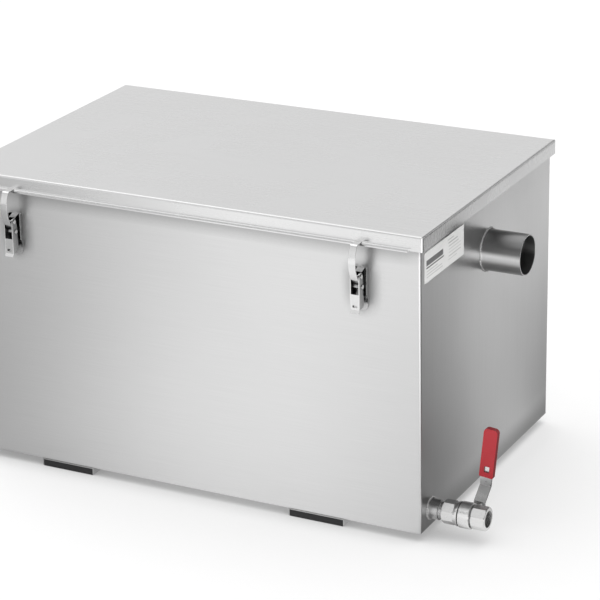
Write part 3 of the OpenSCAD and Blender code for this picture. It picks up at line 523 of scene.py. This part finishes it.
# %% Finish every solid
latch_places = ["front_left", "front_right", "rear_left", "rear_right"]
plan = [
    (["tank_body"], tank_finish, "tank_sheet", 0.0003),
    (["lid_shell"], lid_finish, "lid_sheet", 0.0003),
    (["inlet_baffle", "outlet_baffle"], inner_finish, "tank_sheet", 0.0003),
    ([f"{end}_guide_{wall}" for end in ("inlet", "outlet") for wall in ("front", "rear")],
     inner_finish, "tank_sheet", 0.0003),
    (["sediment_basket"], inner_finish, "tank_sheet", 0.0),
    (["basket_handle"], rod_finish, "tank_sheet", 0.0003),
    (["basket_ledge_front", "basket_ledge_rear"], inner_finish, "tank_sheet", 0.0003),
    (["foot_channel_left", "foot_channel_right"], channel_finish, "tank_sheet", 0.0003),
    (["inlet_pipe", "outlet_pipe", "outlet_elbow"], pipe_finish, "pipe_steel", 0.0003),
    (["drain_nipple"], nipple_finish, "pipe_steel", 0.0003),
    ([f"latch_base_{p}" for p in latch_places], latch_finish, "latch_steel", 0.0006),
    ([f"latch_lever_{p}" for p in latch_places], latch_finish, "latch_steel", 0.0003),
    ([f"latch_strap_{p}" for p in latch_places], latch_finish, "latch_steel", 0.0003),
    ([f"latch_pivot_{p}" for p in latch_places], pin_finish, "latch_steel", 0.00018),
    ([f"latch_pin_{p}" for p in latch_places], pin_finish, "latch_steel", 0.00018),
    (["valve_end_piece", "valve_body", "valve_stem", "valve_gland_nut"], nickel_finish, "valve_metal", 0.0003),
    (["valve_lever_nut"], nickel_finish, "valve_metal", 0.0003),
    (["valve_ball"], chrome_finish, "ball_chrome", 0.0002),
    (["valve_lever"], strip_finish, "lever_steel", 0.0003),
    (["valve_grip"], vinyl_finish, "grip_plastic", 0.0020),
    (["valve_seat_inner", "valve_seat_outer"], seat_finish, "seat_plastic", 0.0002),
    (["lid_gasket", "foot_pad_left", "foot_pad_right"], rubber_finish, "black_rubber", 0.0006),
]
for names, material, slot, bevel in plan:
    for name in names:
        finish_solid(name, material, bevel)
left = set(solids) - {name for names, *_ in plan for name in names}
print("finished", sum(len(names) for names, *_ in plan), "solids, left over:", sorted(left))

# %% [markdown]
# ## The label
# A pale label sticks to the right-hand wall beside the outlet. It names nothing here: it has a
# plain dark field and a few thin lines, drawn by nodes from the distance to each field's middle.
# The label itself is a thin sheet with rounded corners, stuck to the wall.

# %% Make the label
LABEL_LOW, LABEL_HIGH = Vector((0, -0.184, 0.3185)), Vector((0, -0.074, 0.3555))
LABEL_T, LABEL_R = 0.00025, 0.0015
wall_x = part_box("tank_body")[1].x
label_mid = (LABEL_LOW + LABEL_HIGH) / 2
label_half = (LABEL_HIGH - LABEL_LOW) / 2


def rounded_outline(half_w, half_h, radius, steps=5):
    points = []
    for turn, (sx, sy) in enumerate(((1, 1), (-1, 1), (-1, -1), (1, -1))):
        for i in range(steps + 1):
            angle = math.radians(90 * turn + 90 * i / steps)
            points.append((sx * (half_w - radius) + radius * math.cos(angle),
                           sy * (half_h - radius) + radius * math.sin(angle)))
    return points


shape = bmesh.new()
outline = [shape.verts.new((wall_x, label_mid.y + u, label_mid.z + v))
           for u, v in rounded_outline(label_half.y, label_half.z, LABEL_R)]
sheet = shape.faces.new(outline)
raised = bmesh.ops.extrude_face_region(shape, geom=[sheet])["geom"]
bmesh.ops.translate(shape, vec=(LABEL_T, 0, 0), verts=[g for g in raised if isinstance(g, bmesh.types.BMVert)])
bmesh.ops.recalc_face_normals(shape, faces=shape.faces)
label_mesh = bpy.data.meshes.new("label_mesh")
shape.to_mesh(label_mesh)
shape.free()
label = new_piece("blank_label", label_mesh)
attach(label, "tank")
print("label", [round(v * 1000, 1) for v in (LABEL_HIGH - LABEL_LOW)[1:]], "mm")

# %% Print the label's fields
field, given, result = shader_group(
    "Printed field", [("Vector", "Vector", None), ("Middle", "Vector", None), ("Half Size", "Vector", None)],
    ["Ink"])
offset = add(field, "ShaderNodeVectorMath", {0: given["Vector"], 1: given["Middle"]}, operation="SUBTRACT")
away = add(field, "ShaderNodeVectorMath", {0: offset.outputs[0]}, operation="ABSOLUTE")
outside = add(field, "ShaderNodeVectorMath", {0: away.outputs[0], 1: given["Half Size"]}, operation="SUBTRACT")
parts = add(field, "ShaderNodeSeparateXYZ", {0: outside.outputs[0]}).outputs
beyond = calc(field, "MAXIMUM", parts[1], parts[2])
ink = add(field, "ShaderNodeMapRange", {"Value": beyond, "From Min": 0.0001, "From Max": -0.0001})
field.links.new(ink.outputs[0], result["Ink"])

# Each field: how far along and up from the label's middle, its half size in millimetres, its ink
FIELDS = [(-27, 4.4, 23, 3.4, 0.85), (-26, -1.4, 24, 0.9, 0.85)]
FIELDS += [(-34, -5.6, 15, 0.6, 0.3), (-28, -9.2, 21, 0.6, 0.3), (-27, -12.6, 22, 0.6, 0.3)]
FIELDS += [(18, 13.2, 9, 0.6, 0.35), (24, 9.2, 13, 0.7, 0.45), (26, 5.2, 14, 0.6, 0.35), (29, 1.2, 17, 0.5, 0.25),
           (29, -2.8, 17, 0.5, 0.25), (29, -6.8, 17, 0.6, 0.35), (23, -10.8, 12, 0.5, 0.25)]
label_finish, tree, shader, point = new_material("printed_paper")
total = 0.0
for u, v, half_u, half_v, strength in FIELDS:
    block = add(tree, "ShaderNodeGroup", node_tree=field)
    tree.links.new(point.outputs["Object"], block.inputs["Vector"])
    block.inputs["Middle"].default_value = (0, label_mid.y + u / 1000, label_mid.z + v / 1000)
    block.inputs["Half Size"].default_value = (0, half_u / 1000, half_v / 1000)
    total = calc(tree, "MAXIMUM", total, calc(tree, "MULTIPLY", block.outputs["Ink"], strength))
paper = add(tree, "ShaderNodeGroup", node_tree=pebbles)
tree.links.new(point.outputs["Object"], paper.inputs["Vector"])
paper.inputs["Pebble Size"].default_value = 0.0004
paper_tone = blend_colours(tree, paper.outputs["Tone"], (0.80, 0.80, 0.79, 1), (0.88, 0.88, 0.87, 1))
tree.links.new(blend_colours(tree, total, paper_tone, (0.035, 0.035, 0.04, 1)), shader.inputs["Base Color"])
tree.links.new(spread(tree, total, 0.45, 0.35), shader.inputs["Roughness"])
relief = add(tree, "ShaderNodeBump", {"Height": paper.outputs["Height"], "Strength": 0.05, "Distance": 0.0001})
tree.links.new(relief.outputs[0], shader.inputs["Normal"])
label.data.materials.append(label_finish)
print("label fields:", len(FIELDS))

# %% [markdown]
# ## Threads and weld beads
# A screw thread is one ridge that follows a helix, and a weld bead is a row of small overlapping
# scales round a pipe. Both follow a path, so Geometry Nodes make them: a spiral swept with a small
# profile for the thread, and flattened spheres set along a circle for the weld. Sizes are named
# inputs, so that the same tree serves each pipe.

# %% The thread tree
def geometry_tree(name, inputs):
    tree = bpy.data.node_groups.new(name, "GeometryNodeTree")
    for label, kind in inputs:
        tree.interface.new_socket(label, in_out="INPUT", socket_type="NodeSocket" + kind)
    tree.interface.new_socket("Geometry", in_out="OUTPUT", socket_type="NodeSocketGeometry")
    return tree, tree.nodes.new("NodeGroupInput").outputs, tree.nodes.new("NodeGroupOutput").inputs


def finish_tree(tree, geometry, given, result):
    placed = add(tree, "GeometryNodeTransform",
                 {"Geometry": geometry, "Translation": given["Place"], "Rotation": given["Turn"]})
    real = add(tree, "GeometryNodeRealizeInstances", {"Geometry": placed.outputs[0]})
    smooth = add(tree, "GeometryNodeSetShadeSmooth", {"Geometry": real.outputs[0]})
    dressed = add(tree, "GeometryNodeSetMaterial", {"Geometry": smooth.outputs[0], "Material": given["Material"]})
    tree.links.new(dressed.outputs[0], result["Geometry"])


PLACING = [("Place", "Vector"), ("Turn", "Rotation"), ("Material", "Material")]
thread_tree, given, result = geometry_tree(
    "Screw thread", [("Radius", "Float"), ("Length", "Float"), ("Turns", "Float"), ("Ridge", "Float")] + PLACING)
spiral = add(thread_tree, "GeometryNodeCurveSpiral",
             {"Resolution": 40, "Rotations": given["Turns"], "Start Radius": given["Radius"],
              "End Radius": given["Radius"], "Height": given["Length"]})
ridge = add(thread_tree, "GeometryNodeCurvePrimitiveCircle", {"Resolution": 6, "Radius": given["Ridge"]})
swept = add(thread_tree, "GeometryNodeCurveToMesh",
            {"Curve": spiral.outputs[0], "Profile Curve": ridge.outputs[0], "Fill Caps": True})
finish_tree(thread_tree, swept.outputs[0], given, result)


def grow(name, tree, body, slot, **values):
    """Runs a geometry tree on an empty mesh, and keeps the result as a plain piece."""
    piece = new_piece(name, bpy.data.meshes.new(name + "_mesh"))
    modifier = piece.modifiers.new(name, "NODES")
    modifier.node_group = tree
    for item in tree.interface.items_tree:
        if item.in_out == "INPUT":
            modifier[item.identifier] = values[item.name.lower()]
    plain_mesh(piece)
    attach(piece, body)
    print(name, len(piece.data.polygons), "faces")
    return piece


# %% The weld tree
weld_tree, given, result = geometry_tree(
    "Weld scales", [("Radius", "Float"), ("Count", "Int"), ("Scale Size", "Float"), ("Seed", "Int")] + PLACING)
seam = add(weld_tree, "GeometryNodeCurvePrimitiveCircle", {"Resolution": 96, "Radius": given["Radius"]})
spots = add(weld_tree, "GeometryNodeCurveToPoints", {"Curve": seam.outputs[0], "Count": given["Count"]},
            mode="COUNT")
drop = add(weld_tree, "GeometryNodeMeshUVSphere", {"Segments": 12, "Rings": 7, "Radius": given["Scale Size"]})
uneven = add(weld_tree, "FunctionNodeRandomValue",
             {0: (0.70, 0.70, 0.85), 1: (1.10, 1.05, 1.30), "Seed": given["Seed"]}, data_type="FLOAT_VECTOR")
scales = add(weld_tree, "GeometryNodeInstanceOnPoints",
             {"Points": spots.outputs["Points"], "Instance": drop.outputs[0],
              "Rotation": spots.outputs["Rotation"], "Scale": uneven.outputs[0]})
finish_tree(weld_tree, scales.outputs[0], given, result)
print("trees:", thread_tree.name, "and", weld_tree.name)

# %% The threads of the drain
ALONG_X = (0, math.radians(90), 0)
tank_low, tank_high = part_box("tank_body")
nipple_low, nipple_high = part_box("drain_nipple")
valve_low, valve_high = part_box("valve_body")
end_low, end_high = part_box("valve_end_piece")
drain_y, drain_z = (nipple_low.y + nipple_high.y) / 2, (nipple_low.z + nipple_high.z) / 2
THREAD_PITCH, RIDGE = 0.0018, 0.00045
for name, radius, start, length in (("outlet_thread", 0.0102, valve_high.x - 0.0080, 0.0070),
                                    ("nipple_thread", 0.01065, end_low.x - 0.0052, 0.0048)):
    grow(name, thread_tree, "tank", "valve_metal", radius=radius, length=length, turns=length / THREAD_PITCH,
         ridge=RIDGE, place=(start, drain_y, drain_z), turn=ALONG_X, material=nickel_finish)

# %% The weld beads round pipes and nipple
weld_finish = plated("weld_metal", 0.62, 0.86, 0.004, 0.30, 0.0014, 0.5)
SCALE_SIZE, STAND_OFF = 0.0018, 0.0006
for name, pipe, wall, pipe_r, count, seed in (("outlet_weld", "outlet_pipe", tank_high.x, 0.025, 78, 3),
                                              ("inlet_weld", "inlet_pipe", tank_low.x, 0.025, 78, 8),
                                              ("nipple_weld", "drain_nipple", tank_high.x, 0.0122, 38, 5)):
    low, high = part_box(pipe)
    middle = (wall, (low.y + high.y) / 2, (low.z + high.z) / 2)
    grow(name, weld_tree, "tank", "pipe_steel", radius=pipe_r + STAND_OFF, count=count, seed=seed, place=middle,
         turn=ALONG_X, material=weld_finish, **{"scale size": SCALE_SIZE})

# %% [markdown]
# ## The floor
# The trap stands on a plain pale floor that fills the view. Soft ramps will tone it, so the cell
# makes the plane and three helpers: a ramp over a place, a product and a mix.

# %% Lay the floor
REACH = 40
floor_mesh = bpy.data.meshes.new("floor_mesh")
floor_mesh.from_pydata([(-REACH, -REACH, 0), (REACH, -REACH, 0), (REACH, REACH, 0), (-REACH, REACH, 0)], [],
                       [(0, 1, 2, 3)])
floor = new_piece("floor", floor_mesh)
floor_finish, tree, shader, point = new_material("pale_floor")
floor_mesh.materials.append(floor_finish)
x, y, _ = add(tree, "ShaderNodeSeparateXYZ", {0: point.outputs["Object"]}).outputs
rays = add(tree, "ShaderNodeLightPath").outputs


def ramp(value, start, end, low, high):
    return add(tree, "ShaderNodeMapRange", {"Value": value, "From Min": start, "From Max": end, "To Min": low,
                                            "To Max": high}, interpolation_type="SMOOTHSTEP").outputs[0]


def times(first, second):
    return calc(tree, "MULTIPLY", first, second)


def mix(factor, first, second):
    return add(tree, "ShaderNodeMix", {0: factor, 2: first, 3: second}).outputs[0]


print("floor", 2 * REACH, "m wide")

# %% [markdown]
# ## What the walls mirror
# Steel shows what is around it, and in the photograph the walls run from light to dark because
# parts of the studio were dark. A ray that the camera sends to a wall is mirrored down to the
# floor, so each place on the floor belongs to a place on the wall. Sliding a floor point back along
# the camera's direction tells which: front_x is the place along the front wall, right_y the place
# along the right wall, and lifted the height there. Ramps over them paint the tone of the floor that
# mirrored rays will see, first for the front wall and then for the right one, so the light and dark
# on the walls are painted reflections.

# %% Tone the floor in front
FRONT_SLOPE, RIGHT_SLOPE, RISE = 0.52, 1.93, 0.83


def slide(first, second, slope, start):
    """Where a mirrored ray that meets the floor left the wall."""
    return calc(tree, "MULTIPLY_ADD", calc(tree, "SUBTRACT", second, start), -slope, first)


front_x = slide(x, y, FRONT_SLOPE, tank_low.y)
ahead = calc(tree, "SUBTRACT", tank_low.y, y)
# Painted reflection: the tone that mirrored rays see in front of the trap.
in_front = times(ramp(front_x, -0.42, 0.06, 0.44, 1.05), ramp(ahead, 0.72, 0.86, 1.0, 1.18))
in_front = times(in_front, ramp(front_x, 0.12, 0.36, 1.0, 0.82))
# A painted bright patch in the mirrored floor, to the front right of the trap.
painted_bright_patch = times(ramp(x, 0.48, 0.70, 0.0, 0.7), ramp(y, -0.34, -0.24, 1.0, 0.0))
in_front = calc(tree, "ADD", in_front, painted_bright_patch)
print("front tone from", round(tank_low.y * 1000), "mm forwards")

# %% Tone the floor at the right
# Painted reflection: the tone that mirrored rays see at the right.
right_y = slide(y, x, RIGHT_SLOPE, tank_high.x)
aside = calc(tree, "SUBTRACT", x, tank_high.x)
lifted = calc(tree, "MULTIPLY_ADD", aside, RISE, ramp(right_y, 0.06, 0.21, 0.0, -0.10))
near_wall = times(ramp(right_y, -0.24, 0.05, 0.11, 0.66), ramp(right_y, 0.07, 0.21, 1.0, 0.44))
under_valve = times(ramp(right_y, -0.27, -0.21, 0.85, 0.0), ramp(aside, 0.10, 0.14, 1.0, 0.0))
near_wall = calc(tree, "ADD", near_wall, under_valve)
far_out = times(ramp(right_y, -0.11, 0.06, 0.17, 1.74), ramp(aside, 0.42, 0.45, 1.0, 0.36))
at_right = mix(ramp(lifted, 0.03, 0.30, 0.0, 1.0), near_wall, far_out)
beside = times(ramp(x, 0.26, 0.34, 0.0, 1.0), ramp(y, -0.28, -0.18, 0.0, 1.0))
mirrored = mix(beside, in_front, at_right)
print("right tone from", round(tank_high.x * 1000), "mm outwards")

# %% [markdown]
# ## A white floor that keeps its shadows
# To the camera the floor is white without being lit any brighter than the trap. About half of that
# white is a glow that only camera rays and mirrored rays see, and the rest is the light that falls
# on it, where shadows stay. The glow fades where the trap stands close, which ambient occlusion
# finds, and this is a painted shadow, left out on the open side beyond the valve. Mirrored rays see
# it in the tone made above.

# %% Light the floor
WHITE, FADED, PALE = 0.54, 0.42, 0.98
tone = mix(rays["Is Glossy Ray"], 1.0, mirrored)
# Painted shadow: the glow fades where ambient occlusion finds the trap close.
seen_sky = add(tree, "ShaderNodeAmbientOcclusion", {"Distance": 0.05}, samples=8).outputs["AO"]
# The painted shadow is lifted on the open side beyond the valve.
open_side = times(ramp(y, -0.14, -0.09, 0.0, 0.8), ramp(x, 0.28, 0.30, 0.0, 1.0))
seen_sky = calc(tree, "MAXIMUM", calc(tree, "MAXIMUM", seen_sky, open_side), rays["Is Glossy Ray"])
shown = times(calc(tree, "MAXIMUM", rays["Is Camera Ray"], rays["Is Glossy Ray"]), WHITE)
glowing = times(shown, ramp(seen_sky, 0.10, 0.90, FADED, 1.0))
tree.links.new(times(tone, calc(tree, "SUBTRACT", PALE, shown)), shader.inputs["Base Color"])
tree.links.new(times(tone, glowing), shader.inputs["Emission Strength"])
shader.inputs["Emission Color"].default_value = (1, 1, 1, 1)
shader.inputs["Roughness"].default_value = 1.0
shader.inputs["Specular IOR Level"].default_value = 0.0
print("floor glow", WHITE, "down to", round(WHITE * FADED, 2), "near the trap")

# %% [markdown]
# ## The studio dome
# The light comes from a whole dome, so that there are no lamps near the object and the floor is
# evenly lit out to the edge of the picture. A softbox hangs overhead, a bright backdrop stands
# behind on the left for the lid to mirror, and a panel in front draws the bright line on the tubes.
# Weaker panels are seen in the metal only. The rest is a dark room, which gives the bends their
# dark lines.

# %% The studio dome
world = bpy.data.worlds.new("Studio")
bpy.context.scene.world = world
world.use_nodes = True
tree = world.node_tree
direction = add(tree, "ShaderNodeTexCoord").outputs["Generated"]
mirror_ray = add(tree, "ShaderNodeLightPath").outputs["Is Glossy Ray"]
other_ray = calc(tree, "SUBTRACT", 1.0, mirror_ray)


def glow(towards, start, full, strength):
    """A soft round light on the dome, from where its edge starts to where it is full, in degrees."""
    facing = add(tree, "ShaderNodeVectorMath", {0: direction, 1: Vector(towards).normalized()},
                 operation="DOT_PRODUCT").outputs["Value"]
    return ramp(facing, math.cos(math.radians(start)), math.cos(math.radians(full)), 0.0, strength)


DARK_ROOM, FLAGGED = 0.14, 0.50
flag = calc(tree, "SUBTRACT", 1.0, times(mirror_ray, FLAGGED))
lights = {
    "backdrop": glow((-0.50, 0.80, 0.16), 52, 26, 0.66),
    "front panel": glow((-0.45, -0.88, 0.02), 42, 18, 0.80),
    "softbox": times(glow((-0.36, 0.04, 1.0), 50, 34, 1.80), flag),
    "fill": times(glow((0.95, -0.20, 0.25), 85, 40, 0.55), other_ray),
    "strip": times(glow((-0.43, 0.25, 0.87), 24, 12, 0.5), mirror_ray),
    "side panel": times(glow((0.44, 0.90, 0.0), 26, 8, 0.60), mirror_ray),
    "panel for rear views": times(glow((0.45, -0.83, 0.36), 44, 22, 0.42), mirror_ray),
}
level = DARK_ROOM
for light in lights.values():
    level = calc(tree, "ADD", light, level)
tree.links.new(level, tree.nodes["Background"].inputs["Strength"])
tree.nodes["Background"].inputs["Color"].default_value = (1, 1, 1, 1)
print("dome:", ", ".join(lights))
